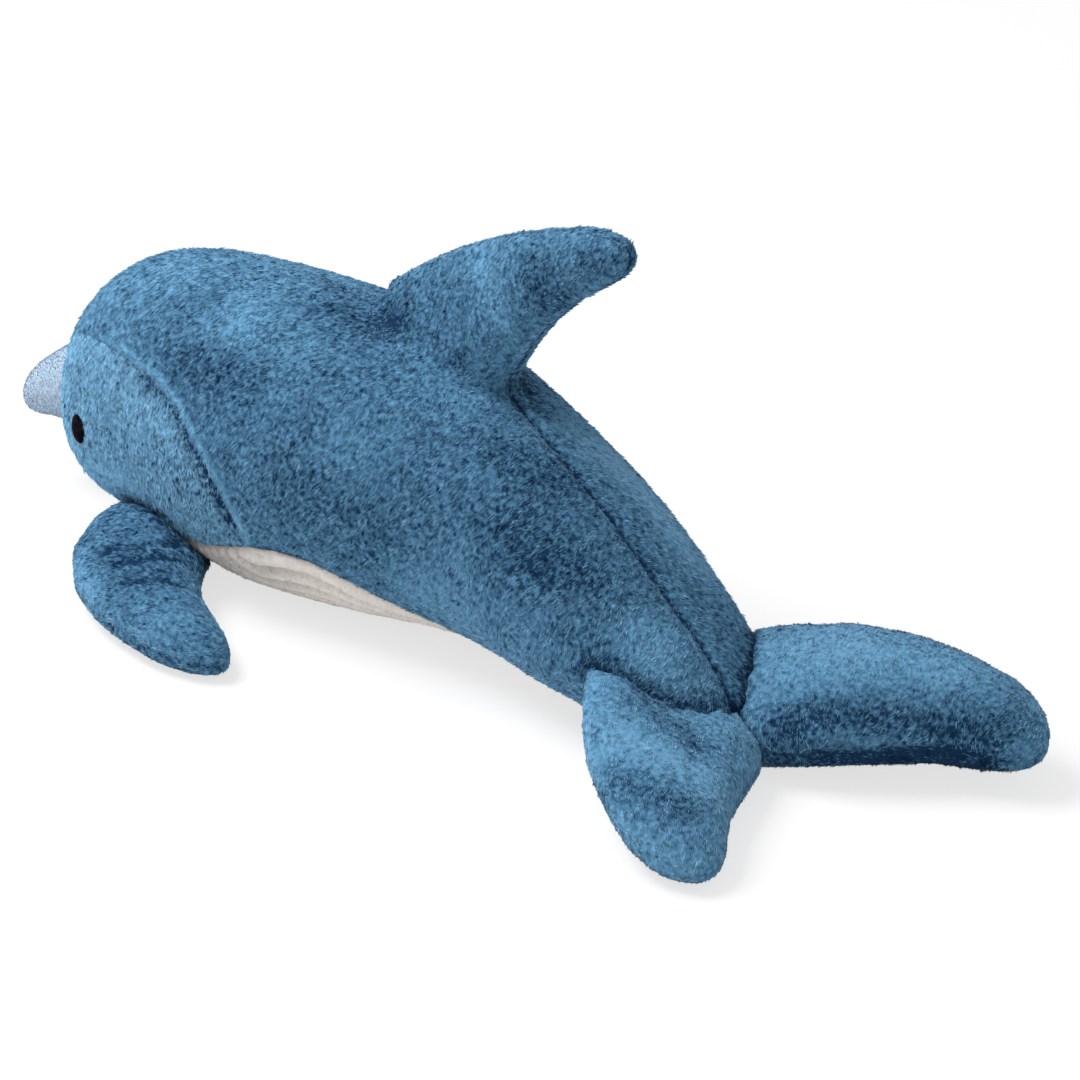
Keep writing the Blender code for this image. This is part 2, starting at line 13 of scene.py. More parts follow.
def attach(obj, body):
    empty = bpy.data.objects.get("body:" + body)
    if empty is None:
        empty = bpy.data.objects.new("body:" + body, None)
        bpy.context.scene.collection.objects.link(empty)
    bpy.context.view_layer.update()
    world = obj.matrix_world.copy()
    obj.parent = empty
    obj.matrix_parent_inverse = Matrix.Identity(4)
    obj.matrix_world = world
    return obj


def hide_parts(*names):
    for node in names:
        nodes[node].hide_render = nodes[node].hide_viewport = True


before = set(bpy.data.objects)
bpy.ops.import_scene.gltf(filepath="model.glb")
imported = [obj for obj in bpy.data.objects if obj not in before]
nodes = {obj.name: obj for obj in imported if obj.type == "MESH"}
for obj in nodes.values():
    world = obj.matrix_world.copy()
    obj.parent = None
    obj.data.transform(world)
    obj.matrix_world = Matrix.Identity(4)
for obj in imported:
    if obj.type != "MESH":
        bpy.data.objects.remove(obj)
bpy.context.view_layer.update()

scene = bpy.context.scene
noise.seed_set(7)       # without it the drifts below differ from run to run


# arrays from meshes and back

def pointsOf(mesh):
    points = np.empty(len(mesh.vertices) * 3)
    mesh.vertices.foreach_get("co", points)
    return points.reshape(-1, 3)


def normalsOf(mesh):
    normals = np.empty(len(mesh.vertices) * 3)
    mesh.vertices.foreach_get("normal", normals)
    return normals.reshape(-1, 3)


def movePoints(mesh, points):
    mesh.vertices.foreach_set("co", points.ravel())
    mesh.update()


def edgesOf(mesh):
    edges = np.empty(len(mesh.edges) * 2, dtype=np.int64)
    mesh.edges.foreach_get("vertices", edges)
    return edges.reshape(-1, 2)


def relax(mesh, values, rounds, share=0.5):
    # evens out values over neighbouring points
    edges = edgesOf(mesh)
    count = np.maximum(np.bincount(edges.ravel(), minlength=len(values)), 1).astype(float)
    for _ in range(rounds):
        total = np.zeros_like(values)
        np.add.at(total, edges[:, 0], values[edges[:, 1]])
        np.add.at(total, edges[:, 1], values[edges[:, 0]])
        mean = total / (count[:, None] if values.ndim > 1 else count)
        values = values + share * (mean - values)
    return values


def unit(vectors):
    return vectors / np.maximum(np.linalg.norm(vectors, axis=1, keepdims=True), 1e-9)


def ramp(values, low, high):
    # 0 at low, 1 at high, smooth between
    t = np.clip((values - low) / (high - low), 0, 1)
    return t * t * (3 - 2 * t)


def hump(values, width):
    return np.exp(-(values / width) ** 2)


def setAttribute(mesh, name, values):
    kind = "FLOAT_VECTOR" if values.ndim > 1 else "FLOAT"
    layer = mesh.attributes.get(name) or mesh.attributes.new(name, kind, "POINT")
    layer.data.foreach_set("vector" if values.ndim > 1 else "value", values.astype(np.float32).ravel())


def getAttribute(mesh, name):
    values = np.empty(len(mesh.vertices), dtype=np.float32)
    mesh.attributes[name].data.foreach_get("value", values)
    return values.astype(float)


def dropAttributes(mesh, wanted):
    for name in [a.name for a in mesh.attributes if a.name.startswith(wanted)]:
        mesh.attributes.remove(mesh.attributes[name])


def addObject(name, mesh):
    made = bpy.data.objects.new(name, mesh)
    scene.collection.objects.link(made)
    return made


def bake(obj):
    # the object's mesh with its modifiers applied
    mesh = bpy.data.meshes.new_from_object(obj.evaluated_get(bpy.context.evaluated_depsgraph_get()))
    obj.modifiers.clear()
    old = obj.data
    obj.data = mesh
    bpy.data.meshes.remove(old)


def treeOfMesh(mesh):
    return BVHTree.FromPolygons([v.co for v in mesh.vertices], [tuple(p.vertices) for p in mesh.polygons])


def nodeDistance(nodeName, points):
    tree = treeOfMesh(nodes[nodeName].data)
    return np.array([tree.find_nearest(Vector(p))[3] for p in points])


def pathDistance(points, path):
    # distance to a path of straight runs
    best = np.full(len(points), 1.0)
    for start, end in zip(path[:-1], path[1:]):
        start, run = np.array(start), np.subtract(end, start)
        t = np.clip((points - start) @ run / max(run @ run, 1e-12), 0, 1)
        best = np.minimum(best, np.linalg.norm(points - start - t[:, None] * run, axis=1))
    return best


def drift(points, size, seed):
    # soft random directions with this feature size
    shift = Vector((seed, 0, 0))
    return np.array([noise.noise_vector(Vector(p) / size + shift) for p in points])


def tangent(directions, normals):
    return unit(directions - normals * np.sum(directions * normals, axis=1, keepdims=True))


# materials

class NodeBench:
    # short ways to add and join nodes
    def __init__(self, tree):
        self.tree = tree

    def add(self, kind, **values):
        fresh = self.tree.nodes.new(kind)
        for key, value in values.items():
            setattr(fresh, key, value)
        return fresh

    def join(self, a, b):
        self.tree.links.new(a, b)

    def math(self, kind, *parts):
        step = self.add("ShaderNodeMath", operation=kind)
        self.feed(step, parts)
        return step.outputs[0]

    def vector(self, kind, *parts):
        step = self.add("ShaderNodeVectorMath", operation=kind)
        self.feed(step, parts)
        return step.outputs[0]

    def scale(self, vector, amount):
        step = self.add("ShaderNodeVectorMath", operation="SCALE")
        self.join(vector, step.inputs[0])
        self.join(amount, step.inputs["Scale"])
        return step.outputs[0]

    def feed(self, step, parts):
        for socket, part in zip(step.inputs, parts):
            if isinstance(part, (int, float, tuple)):
                socket.default_value = part
            else:
                self.join(part, socket)

    def random(self, kind, low, high, seed=0):
        made = self.add("FunctionNodeRandomValue", data_type=kind)
        first = 0 if kind == "FLOAT_VECTOR" else 2
        made.inputs[first].default_value = low
        made.inputs[first + 1].default_value = high
        made.inputs["Seed"].default_value = seed
        return made.outputs[0 if kind == "FLOAT_VECTOR" else 1]


def clothMaterial(name, look):
    # painted shade between the tufts and at their roots, lighter at their tips, brushed in patches
    made = bpy.data.materials.new(name)
    made.use_nodes = True
    made.node_tree.nodes.clear()
    bench = NodeBench(made.node_tree)
    out = bench.add("ShaderNodeOutputMaterial")
    shader = bench.add("ShaderNodeBsdfPrincipled")
    bench.join(shader.outputs[0], out.inputs[0])
    place = bench.add("ShaderNodeTexCoord").outputs["Object"]

    def cloud(scale, detail):
        made = bench.add("ShaderNodeTexNoise")
        made.inputs["Scale"].default_value = scale
        made.inputs["Detail"].default_value = detail
        bench.join(place, made.inputs["Vector"])
        return bench.math("SUBTRACT", made.outputs["Fac"], 0.5)

    def read(attribute):
        return bench.add("ShaderNodeAttribute", attribute_name=attribute).outputs["Fac"]

    shares = (
        (cloud(look["patchScale"], 3), look["patch"]),
        (cloud(look["speckScale"], 2), look["speck"]),
        (read("tuftShade"), look["tuft"]),
        # painted shade: darker towards each tuft's root, with the bare cloth between the tufts darkest
        (bench.math("SUBTRACT", read("along"), 0.6), look["tip"]),
        (read("tone"), 1.0),
    )
    light = bench.math("ADD", 0.5, 0)
    for value, amount in shares:
        light = bench.math("ADD", light, bench.math("MULTIPLY", value, amount))
    blend = bench.add("ShaderNodeValToRGB")
    bench.join(light, blend.inputs["Fac"])
    stops = blend.color_ramp.elements
    stops[0].color = (*look["dark"], 1)
    stops[1].color = (*look["light"], 1)
    stops.new(0.5).color = (*look["middle"], 1)
    bench.join(blend.outputs["Color"], shader.inputs["Base Color"])

    shader.inputs["Roughness"].default_value = look["roughness"]
    shader.inputs["Specular IOR Level"].default_value = look["gloss"]
    bench.join(bench.math("MULTIPLY", light, look["sheen"] * 2), shader.inputs["Sheen Weight"])
    shader.inputs["Sheen Roughness"].default_value = look["sheenRoughness"]
    shader.inputs["Sheen Tint"].default_value = (*look["sheenTint"], 1)
    bump = bench.add("ShaderNodeBump")
    bump.inputs["Strength"].default_value = look["bump"]
    bump.inputs["Distance"].default_value = look["bumpDepth"]
    bench.join(cloud(look["grainScale"], 3), bump.inputs["Height"])
    bench.join(bump.outputs["Normal"], shader.inputs["Normal"])
    return made


blueLook = {
    "dark": (0.005, 0.026, 0.070), "middle": (0.102, 0.265, 0.430), "light": (0.215, 0.432, 0.628),
    "patchScale": 24, "patch": 0.35, "speckScale": 560, "speck": 1.0, "tuft": 0.24, "tip": 0.40,
    "roughness": 0.9, "gloss": 0.08, "sheen": 0.24, "sheenRoughness": 0.4, "sheenTint": (0.65, 0.84, 1.0),
    "grainScale": 900, "bump": 0.6, "bumpDepth": 0.0006,
}
cheekLook = dict(
    blueLook, middle=(0.215, 0.475, 0.705), light=(0.34, 0.61, 0.83),
    patch=0.25, speck=0.75, tuft=0.18,
)
creamLook = dict(
    blueLook, dark=(0.50, 0.45, 0.40), middle=(0.88, 0.83, 0.78), light=(0.96, 0.93, 0.90),
    patch=0.3, speck=0.3, tuft=0.12, tip=0.25, sheenTint=(1.0, 0.97, 0.93),
)
beakLook = dict(
    blueLook, dark=(0.32, 0.41, 0.51), middle=(0.405, 0.515, 0.635), light=(0.49, 0.59, 0.70),
    patchScale=70, patch=0.25, speckScale=700, speck=0.06, tuft=0.02, tip=0.02, bump=0.3,
)
materials = {
    "blue_pile": clothMaterial("blue pile", blueLook),
    "light_blue_pile": clothMaterial("light blue pile", cheekLook),
    "cream_pile": clothMaterial("cream pile", creamLook),
    "beak_velour": clothMaterial("beak velour", beakLook),
}
print("materials made")


# stuffed forms

stuffing = {
    "voxel": 0.0028,        # spacing of the cloth's points
    "smoothing": 4,
    "inset": 0.0004,        # it starts smaller, because it swells
    "limbInset": -0.0002,
    "pressure": 4.0,
    "cap": 0.0022,          # how far a point may swell
    "seamHold": 0.006,      # cloth this near a seam hardly swells
    "frames": 16,
    "floorClear": 0.0004,
    "wall": 0.0016,         # thickness of each panel's cloth
    "borderRounds": 12,     # how often a panel's border is evened out
}


def stuffedForm(name, solids, voxel=stuffing["voxel"], inset=stuffing["inset"]):
    # one closed, even mesh round these solids
    shape = bmesh.new()
    for solid in solids:
        shape.from_mesh(nodes[solid].data)
    bmesh.ops.remove_doubles(shape, verts=shape.verts, dist=1e-6)
    mesh = bpy.data.meshes.new(name)
    shape.to_mesh(mesh)
    shape.free()
    form = addObject(name, mesh)
    wrap = form.modifiers.new("wrap", "REMESH")
    wrap.mode = "VOXEL"
    wrap.voxel_size = voxel
    bake(form)
    keepLargest(form.data)
    for _ in range(stuffing["smoothing"]):
        movePoints(form.data, relax(form.data, pointsOf(form.data), 1, 0.5))
        movePoints(form.data, relax(form.data, pointsOf(form.data), 1, -0.51))     # keeps it from shrinking
    movePoints(form.data, pointsOf(form.data) - normalsOf(form.data) * inset)
    return form


def keepLargest(mesh):
    # drops closed pockets between the solids
    edges = edgesOf(mesh)
    label = np.arange(len(mesh.vertices))
    while True:
        low = np.minimum(label[edges[:, 0]], label[edges[:, 1]])
        fresh = label.copy()
        np.minimum.at(fresh, edges[:, 0], low)
        np.minimum.at(fresh, edges[:, 1], low)
        fresh = fresh[fresh]
        if (fresh == label).all():
            break
        label = fresh
    dropPoints(mesh, label != np.bincount(label).argmax())


def dropPoints(mesh, away):
    shape = bmesh.new()
    shape.from_mesh(mesh)
    shape.verts.ensure_lookup_table()
    bmesh.ops.delete(shape, geom=[shape.verts[i] for i in np.where(away)[0]], context="VERTS")
    shape.to_mesh(mesh)
    shape.free()


def swell(form, seam):
    # cloth under pressure, held near its seams, each point's move capped
    before = pointsOf(form.data)
    hold = form.vertex_groups.new(name="hold")
    held = np.clip(1 - seam / stuffing["seamHold"], 0, 1)
    held[before[:, 2] < stuffing["voxel"]] = 1
    for i, weight in enumerate(held):
        hold.add([i], float(weight), "REPLACE")
    cloth = form.modifiers.new("cloth", "CLOTH")
    settings = cloth.settings
    settings.quality = 3
    settings.use_pressure = True
    settings.uniform_pressure_force = stuffing["pressure"]
    settings.vertex_group_mass = "hold"
    settings.effector_weights.gravity = 0
    cloth.collision_settings.use_collision = False
    cloth.point_cache.frame_start = 1
    cloth.point_cache.frame_end = stuffing["frames"]
    for step in range(1, stuffing["frames"] + 1):
        scene.frame_set(step)
    bake(form)
    scene.frame_set(1)
    form.vertex_groups.clear()
    move = pointsOf(form.data) - before
    length = np.linalg.norm(move, axis=1, keepdims=True)
    move *= np.minimum(1, stuffing["cap"] / np.maximum(length, 1e-9))
    after = before + move
    after[:, 2] = np.maximum(after[:, 2], stuffing["floorClear"])
    movePoints(form.data, after)
    print("swelled", form.name, len(before), "points, most", round(float(length.max()) * 1000, 2), "mm")


def makeCloth(name, solids, panels, inset):
    # the swelled form, with each panel's distance kept on its points
    form = stuffedForm(name, solids, inset=inset)
    points = pointsOf(form.data)
    reach = np.array([nodeDistance(panel, points) for panel in panels])
    near = np.sort(reach, axis=0)
    swell(form, np.sqrt(np.maximum(near[1] ** 2 - near[0] ** 2, 0)))
    for i, distance in enumerate(reach):
        setAttribute(form.data, f"reach{i}", distance)
    return form


def finer(form):
    step = form.modifiers.new("finer", "SUBSURF")
    step.levels = step.render_levels = 1
    bake(form)


def readPanels(mesh, panels):
    # distance to each panel, the nearest two, and how far off the seam between them
    reach = np.array([getAttribute(mesh, f"reach{i}") for i in range(len(panels))])
    order = reach.argsort(axis=0)
    near = np.sort(reach, axis=0)
    dropAttributes(mesh, "reach")
    return reach, order[0], order[1], np.sqrt(np.maximum(near[1] ** 2 - near[0] ** 2, 0))


def pressFolds(mesh, folds):
    # creases go in and get painted shade, ridges (a negative depth) stand out and get a painted highlight
    points = pointsOf(mesh)
    dip, tone = np.zeros(len(points)), np.zeros(len(points))
    for fold in folds:
        share = hump(pathDistance(points, fold["path"]), fold["width"])
        dip += fold["depth"] * share
        tone += fold["tone"] * share
    return dip, tone


def brushedPileAndLightMarks(mesh, marks):
    # patches painted lighter or darker: brushed pile, and in places painted shade and painted highlights; from, to,
    # radius, tone
    points = pointsOf(mesh)
    tone = np.zeros(len(points))
    for start, end, radius, amount in marks:
        tone += amount * hump(pathDistance(points, (start, end)), radius)
    return tone


# pile

tuft = {
    "backTurn": 0.6,        # how far its ridge may turn off the cloth's normal
    "flatness": 0.8,
    "sizes": (0.65, 1.15),
    "shades": (-0.6, 0.6),
}


def pileTree(name, material):
    tree = bpy.data.node_groups.new(name, "GeometryNodeTree")
    face = tree.interface
    face.new_socket("Geometry", in_out="INPUT", socket_type="NodeSocketGeometry")
    sizes = {}
    labels = (
        "Tufts per square metre", "Length", "Root radius", "Upright", "Unruly",
        "Clump", "Clump scale", "Sink", "Fleck", "Fleck scale",
    )
    for label in labels:
        sizes[label] = face.new_socket(label, in_out="INPUT", socket_type="NodeSocketFloat").identifier
    sizes["Seed"] = face.new_socket("Seed", in_out="INPUT", socket_type="NodeSocketInt").identifier
    face.new_socket("Geometry", in_out="OUTPUT", socket_type="NodeSocketGeometry")
    bench = NodeBench(tree)
    given = bench.add("NodeGroupInput").outputs

    def named(attribute, kind="FLOAT"):
        made = bench.add("GeometryNodeInputNamedAttribute", data_type=kind)
        made.inputs["Name"].default_value = attribute
        return made.outputs["Attribute"]

    def store(geometry, attribute, value, domain):
        made = bench.add("GeometryNodeStoreNamedAttribute", data_type="FLOAT", domain=domain)
        made.inputs["Name"].default_value = attribute
        bench.join(geometry, made.inputs["Geometry"])
        bench.join(value, made.inputs["Value"])
        return made.outputs["Geometry"]

    scatter = bench.add("GeometryNodeDistributePointsOnFaces")
    bench.join(given["Geometry"], scatter.inputs["Mesh"])
    density = bench.math("MULTIPLY", given["Tufts per square metre"], named("pileShare"))
    bench.join(density, scatter.inputs["Density"])
    bench.join(given["Seed"], scatter.inputs["Seed"])

    # a tuft follows the pile's lie, leans out a little, and clumps with its neighbours
    clouds = bench.add("ShaderNodeTexNoise")
    bench.join(bench.add("GeometryNodeInputPosition").outputs[0], clouds.inputs["Vector"])
    bench.join(given["Clump scale"], clouds.inputs["Scale"])
    clouds.inputs["Detail"].default_value = 1
    clump = bench.scale(bench.vector("SUBTRACT", clouds.outputs["Color"], (0.5, 0.5, 0.5)), given["Clump"])
    loose = bench.scale(bench.random("FLOAT_VECTOR", (-1, -1, -1), (1, 1, 1), 3), given["Unruly"])
    heading = bench.scale(scatter.outputs["Normal"], given["Upright"])
    for part in (named("lie", "FLOAT_VECTOR"), clump, loose):
        heading = bench.vector("ADD", heading, part)
    aim = bench.add("FunctionNodeAlignRotationToVector", axis="Z")
    bench.join(heading, aim.inputs["Vector"])
    back = bench.add("FunctionNodeAlignRotationToVector", axis="X", pivot_axis="Z")
    bench.join(aim.outputs[0], back.inputs["Rotation"])
    turn = tuft["backTurn"]
    turned = bench.random("FLOAT_VECTOR", (-turn,) * 3, (turn,) * 3, 5)
    bench.join(bench.vector("ADD", scatter.outputs["Normal"], turned), back.inputs["Vector"])

    # a tuft with its tip along Z: two faces under a ridge, open towards the cloth
    cone = bench.add("GeometryNodeMeshCone", fill_type="NONE")
    cone.inputs["Vertices"].default_value = 3
    cone.inputs["Radius Top"].default_value = 0
    bench.join(given["Root radius"], cone.inputs["Radius Bottom"])
    bench.join(given["Length"], cone.inputs["Depth"])
    spot = bench.add("ShaderNodeSeparateXYZ")
    bench.join(bench.add("GeometryNodeInputPosition").outputs[0], spot.inputs[0])
    share = bench.math("DIVIDE", spot.outputs["Z"], given["Length"])
    under = bench.add("GeometryNodeDeleteGeometry", domain="FACE", mode="ALL")
    bench.join(cone.outputs["Mesh"], under.inputs["Geometry"])
    bench.join(bench.math("LESS_THAN", spot.outputs["X"], 0.0), under.inputs["Selection"])
    strand = store(under.outputs["Geometry"], "along", share, "POINT")

    size = bench.random("FLOAT", *tuft["sizes"], 7)
    scale = bench.add("ShaderNodeCombineXYZ")
    bench.join(bench.math("MULTIPLY", size, tuft["flatness"]), scale.inputs["X"])
    bench.join(size, scale.inputs["Y"])
    bench.join(bench.math("MULTIPLY", size, named("pileLength")), scale.inputs["Z"])
    sunk = bench.add("GeometryNodeSetPosition")
    bench.join(scatter.outputs["Points"], sunk.inputs["Geometry"])
    down = bench.math("MULTIPLY", given["Sink"], -1)
    bench.join(bench.scale(scatter.outputs["Normal"], down), sunk.inputs["Offset"])
    plant = bench.add("GeometryNodeInstanceOnPoints")
    bench.join(sunk.outputs["Geometry"], plant.inputs["Points"])
    bench.join(strand, plant.inputs["Instance"])
    bench.join(back.outputs[0], plant.inputs["Rotation"])
    bench.join(scale.outputs[0], plant.inputs["Scale"])

    # whole tufts lie darker or lighter in flecks
    flecks = bench.add("ShaderNodeTexNoise")
    bench.join(bench.add("GeometryNodeInputPosition").outputs[0], flecks.inputs["Vector"])
    bench.join(given["Fleck scale"], flecks.inputs["Scale"])
    flecks.inputs["Detail"].default_value = 1
    fleck = bench.math("MULTIPLY", bench.math("SUBTRACT", flecks.outputs["Fac"], 0.5), given["Fleck"])
    shade = bench.math("ADD", fleck, bench.random("FLOAT", *tuft["shades"], 11))
    planted = store(plant.outputs["Instances"], "tuftShade", shade, "INSTANCE")
    finishTree(bench, planted, material)
    return tree, sizes


def finishTree(bench, geometry, material):
    real = bench.add("GeometryNodeRealizeInstances")
    paint = bench.add("GeometryNodeSetMaterial")
    paint.inputs["Material"].default_value = material
    bench.join(geometry, real.inputs["Geometry"])
    bench.join(real.outputs["Geometry"], paint.inputs["Geometry"])
    bench.join(paint.outputs["Geometry"], bench.add("NodeGroupOutput").inputs[0])


def runTree(name, mesh, tree, sizes, settings):
    # a plain mesh made by the tree from this mesh
    made = addObject(name, mesh)
    step = made.modifiers.new("make", "NODES")
    step.node_group = tree
    for label, value in settings.items():
        step[sizes[label]] = value
    bake(made)
    return made


pileSizes = {
    "Tufts per square metre": 2.05e6, "Length": 0.0024, "Root radius": 0.00038,
    "Upright": 0.26, "Unruly": 0.20, "Clump": 1.25, "Clump scale": 300, "Sink": 0.0003,
    "Fleck": 7.0, "Fleck scale": 440,
}
limbPile = {**pileSizes, "Length": 0.0021, "Upright": 0.22, "Unruly": 0.15, "Clump": 1.05}
mostTufts = 61000       # on one panel, two faces each
lieDrift = {"amount": 0.45, "size": 0.022}      # how the brushed pile wanders


def growPile(name, skin, slot, settings):
    # pile over one panel, as a piece of its own
    share = getAttribute(skin.data, "pileShare")
    area = sum(face.area * share[list(face.vertices)].mean() for face in skin.data.polygons)
    density = min(settings["Tufts per square metre"], mostTufts / area)
    tree, sizes = pileTree(name, materials[slot])
    settings = {**settings, "Tufts per square metre": density}
    pile = runTree(name, skin.data.copy(), tree, sizes, settings)
    mesh = pile.data
    dropAttributes(mesh, ("lie", "pile"))
    spreadTufts(mesh)
    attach(pile, "root")
    print(name, len(mesh.polygons), "faces,", round(area * 1e4, 1), "square cm")


def spreadTufts(mesh):
    # a map with a small cell for each tuft
    tufts = len(mesh.vertices) // 4
    across = math.ceil(math.sqrt(max(tufts, 1)))
    corner = np.empty(len(mesh.loops), dtype=np.int64)
    mesh.loops.foreach_get("vertex_index", corner)
    cell = corner // 4
    along = getAttribute(mesh, "along")[corner]
    spread = np.array([0.15, 0.5, 0.85, 0.5])[corner % 4]
    u = (cell % across + spread) / across
    v = (cell // across + 0.12 + 0.76 * np.clip(along, 0, 1)) / across
    layer = mesh.uv_layers.new(name="OFBake")
    layer.uv.foreach_set("vector", np.stack([u, v], axis=1).astype(np.float32).ravel())


# eyes: where each lies on its cheek

def eyePlace(side):
    points = pointsOf(nodes[f"eye_{side}"].data)
    middle = (points.min(axis=0) + points.max(axis=0)) / 2
    axes = np.linalg.eigh((points - middle).T @ (points - middle))[1]
    out, across, long = axes[:, 0], axes[:, 1], axes[:, 2]
    out = out * np.sign(out @ (middle - np.array([-0.11, 0.0, 0.06])))
    halves = [np.abs((points - middle) @ axis).max() for axis in (long, across)]
    return {"middle": middle, "long": long, "across": across, "out": out, "half": halves}


eyePlaces = {side: eyePlace(side) for side in ("left", "right")}


def eyeShare(points, place):
    # 0 at the eye's middle, 1 at its rim
    offset = points - place["middle"]
    share = np.hypot(offset @ place["long"] / place["half"][0], offset @ place["across"] / place["half"][1])
    return np.where(np.abs(offset @ place["out"]) < 0.015, share, 9.0)


# the body, with its dorsal fin

bodyPlan = {
    "panels": ["back_left", "back_right", "cheek_left", "cheek_right", "belly"],
    "lies": [(-0.45, -1.0, -0.9), (0.8, 0.6, -0.5), (-0.1, -0.6, -0.9), (-0.1, 0.6, -0.9), (1.0, 0.0, 0.0)],
    "finLie": (0.6, 0.0, 0.8),
    "groove": 0.0016, "grooveWidth": 0.0022,
    "seamShade": -0.30, "lineWidth": 0.0014,
    "cheekLine": 0.28, "patchySize": 0.0045,
    "ridgeHighlight": 0.40, "ridgeHeight": 0.0007, "ridgePlace": 0.0026, "ridgeWidth": 0.0014,
    "bandTone": -0.16, "bandWidth": 0.009, "rimHighlight": 0.10, "crestTone": 0.12,
    "contactShade": -0.26, "contactShadeWidth": 0.0035,
    "wrinkle": 0.0016, "wrinkleStep": 0.0068, "wrinkleShade": 0.20,
    "beakClear": 0.014,
    # folds: painted shade in the creases, painted highlight on the ridges
    "folds": [
        {"path": [(-0.007, -0.006, 0.1085), (0.007, 0.001, 0.098)], "width": 0.003, "depth": 0.0014, "tone": -0.22},
        {"path": [(-0.051, 0.006, 0.111), (-0.043, 0.001, 0.109)], "width": 0.005, "depth": 0.0012, "tone": -0.05},
    ],
    "marks": [
        ((-0.102, 0.008, 0.111), (-0.099, -0.028, 0.103), 0.011, 0.18),
        ((-0.107, -0.043, 0.092), (-0.076, -0.041, 0.094), 0.009, -0.18),
        ((-0.067, 0.001, 0.109), (-0.044, 0.001, 0.109), 0.009, -0.18),
        ((-0.161, -0.034, 0.094), (-0.145, -0.042, 0.087), 0.016, 0.04),
        ((-0.142, -0.049, 0.034), (-0.134, -0.047, 0.027), 0.010, 0.14),
        ((-0.052, -0.056, 0.062), (0.0, -0.047, 0.063), 0.016, -0.10),
        ((0.097, -0.030, 0.046), (0.107, -0.031, 0.039), 0.012, 0.22),
        ((0.025, -0.019, 0.088), (0.044, -0.014, 0.082), 0.009, -0.16),
        ((0.040, -0.037, 0.071), (0.072, -0.031, 0.062), 0.013, -0.12),
        ((0.010, -0.045, 0.038), (0.033, -0.042, 0.027), 0.012, 0.12),
        # painted shade in the crease at the fin's rear base
        ((0.026, -0.003, 0.146), (0.038, -0.002, 0.143), 0.010, -0.14),
        ((0.051, -0.002, 0.160), (0.058, 0.003, 0.161), 0.007, -0.16),
        ((-0.006, 0.007, 0.143), (0.012, -0.003, 0.129), 0.006, 0.16),
        # painted shadow cast by the fin
        ((0.008, 0.013, 0.096), (0.020, 0.012, 0.092), 0.008, -0.22),
        # painted sheen: the far side lighter where light grazes it, in this mark and the next
        ((0.045, 0.018, 0.080), (0.085, 0.015, 0.062), 0.010, 0.24),
        ((0.022, 0.018, 0.089), (0.087, 0.018, 0.050), 0.011, 0.24),
        # painted sheen along the top of the head
        ((-0.150, -0.022, 0.107), (-0.122, 0.003, 0.112), 0.016, 0.12),
        ((0.058, -0.036, 0.060), (0.085, -0.034, 0.050), 0.014, -0.10),
        ((-0.110, -0.062, 0.050), (-0.080, -0.062, 0.052), 0.014, -0.10),
    ],
}

bodySolids = bodyPlan["panels"] + ["body_filling", "dorsal_fin_filling"]
body = makeCloth("body", bodySolids, bodyPlan["panels"], stuffing["inset"])
setAttribute(body.data, "fin", nodeDistance("dorsal_fin_filling", pointsOf(body.data)))
setAttribute(body.data, "snout", nodeDistance("beak", pointsOf(body.data)))
limbTops = ["flipper_left_top", "flipper_right_top", "fluke_left_top", "fluke_right_top"]
setAttribute(body.data, "limbs", np.min([nodeDistance(top, pointsOf(body.data)) for top in limbTops], axis=0))
finer(body)
mesh = body.data
reach, panel, second, seam = readPanels(mesh, bodyPlan["panels"])
onFin = 1 - ramp(getAttribute(mesh, "fin"), 0.004, 0.012)
snout, limbs = getAttribute(mesh, "snout"), getAttribute(mesh, "limbs")
dropAttributes(mesh, ("fin", "snout", "limbs"))
points, normals = pointsOf(mesh), normalsOf(mesh)

# seams: sides 0 and 1 are backs, 2 and 3 cheeks, 4 the belly
seamPair = np.sort([panel, second], axis=0)
isCheekSeam = ((seamPair[0] == 0) & (seamPair[1] == 2)) | ((seamPair[0] == 1) & (seamPair[1] == 3))
isMidSeam = (seamPair[0] == 0) & (seamPair[1] == 1)
isBack = panel < 2
cheekFade = ramp(points[:, 0], -0.155, -0.128)
beforeFin = 1 - ramp(points[:, 0], -0.045, -0.02)
patchy = 1 + 1.1 * drift(points, bodyPlan["patchySize"], 4.0)[:, 0]
cheekLine = cheekFade * np.clip(bodyPlan["cheekLine"] * patchy, 0, 1)
seamStrength = np.where(isCheekSeam, cheekLine, np.where(isMidSeam, 1 - 0.85 * beforeFin, 0.8))
seamStrength = np.where(isMidSeam & (onFin > 0.5), 0.7, seamStrength)
line = hump(seam, bodyPlan["lineWidth"])
ridge = hump(seam - bodyPlan["ridgePlace"], bodyPlan["ridgeWidth"]) * isCheekSeam * isBack * cheekFade
rim = hump(seam - 0.004, 0.0025) * isMidSeam * onFin
crest = hump(seam, 0.003) * isMidSeam * beforeFin * (1 - onFin)
band = (1 - ramp(seam, 0, bodyPlan["bandWidth"])) * isCheekSeam * ~isBack * cheekFade
dip, tone = pressFolds(mesh, bodyPlan["folds"])
seamGroove = hump(seam, bodyPlan["grooveWidth"])
dip += bodyPlan["groove"] * seamStrength * seamGroove - bodyPlan["ridgeHeight"] * (ridge + rim)
# painted shade: a dark line along each seam's groove, where the pile parts
tone += brushedPileAndLightMarks(mesh, bodyPlan["marks"]) + bodyPlan["seamShade"] * seamStrength * line
# painted highlight on the raised ridge beside the cheek seam and on the raised rim near the fin's edge
cheekTone = bodyPlan["ridgeHighlight"] * ridge + bodyPlan["bandTone"] * band * patchy
tone += cheekTone + bodyPlan["rimHighlight"] * rim + bodyPlan["crestTone"] * crest
# painted shade where the flippers and flukes meet the body
tone += bodyPlan["contactShade"] * hump(limbs, bodyPlan["contactShadeWidth"])
